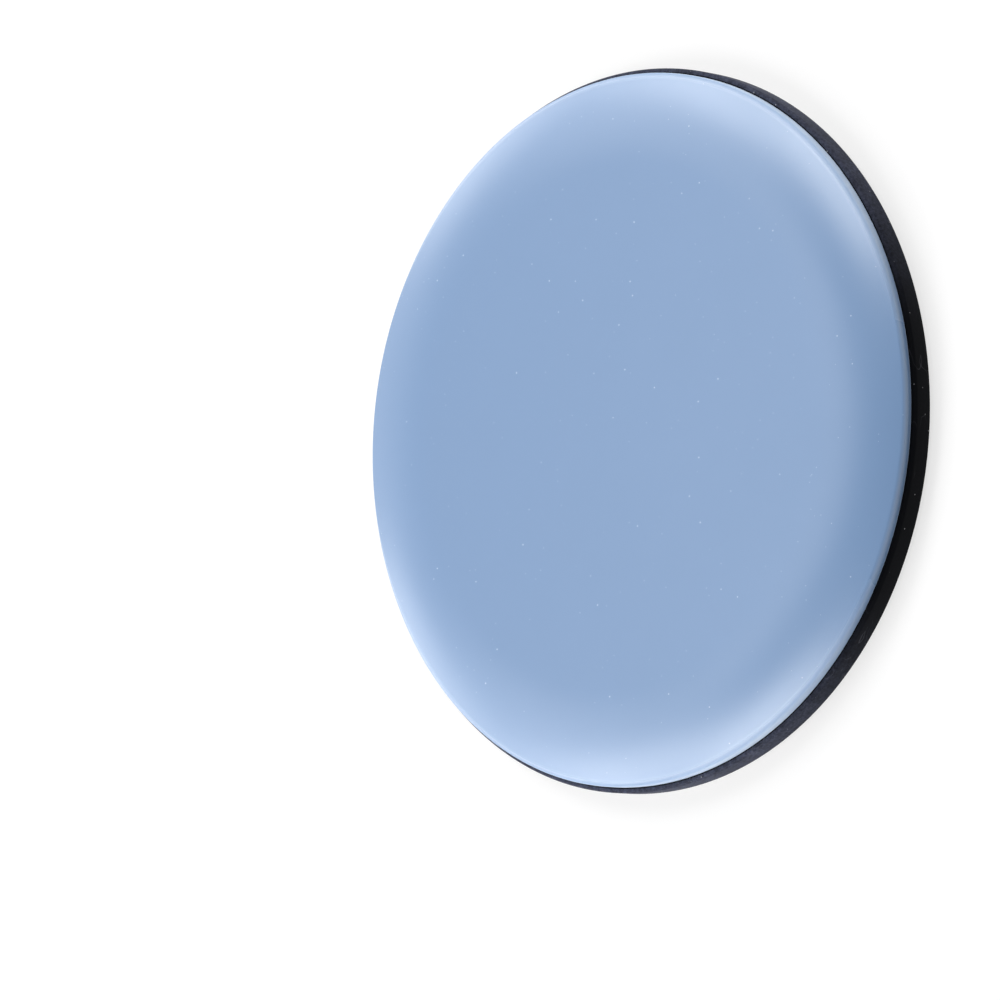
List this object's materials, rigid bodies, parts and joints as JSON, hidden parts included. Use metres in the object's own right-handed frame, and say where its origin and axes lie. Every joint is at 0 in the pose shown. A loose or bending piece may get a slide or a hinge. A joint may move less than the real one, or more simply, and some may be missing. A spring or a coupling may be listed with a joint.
{
  "type": "furniture slider",
  "caption": "Round self-adhesive furniture slider: a flat slippery cap with a rolled edge on a black rubber base, backed by foam tape under a peel-off liner.",
  "frame": {"origin": "centre of the release liner's underside, where the slider lies on a table before it is fitted", "axes": "+Z out of the glide face along the disc's axis; X and Y are free, and +X is the way the liner is peeled. In use the slider is turned over, with +Z down to the floor."},
  "size_m": [0.089, 0.089, 0.0064],
  "materials": {
    "glide_face": "satin blue-grey PTFE",
    "cement": "cured cement film",
    "rubber": "moulded black rubber, low sheen",
    "adhesive": "tacky clear adhesive coat",
    "foam": "white closed-cell foam",
    "liner": "smooth white siliconed paper"
  },
  "bodies": {
    "slider": {"glide_cap": "glide_face", "cap_cement": "cement", "rubber_base": "rubber", "rubber_side_adhesive": "adhesive", "tape_carrier": "foam", "leg_side_adhesive": "adhesive"},
    "liner": {"release_liner": "liner"}
  },
  "joints": [
    {"name": "liner_peel", "type": "slide", "parent": "slider", "child": "liner", "axis": [1, 0, 0], "range_m": [0, 0.095]}
  ]
}
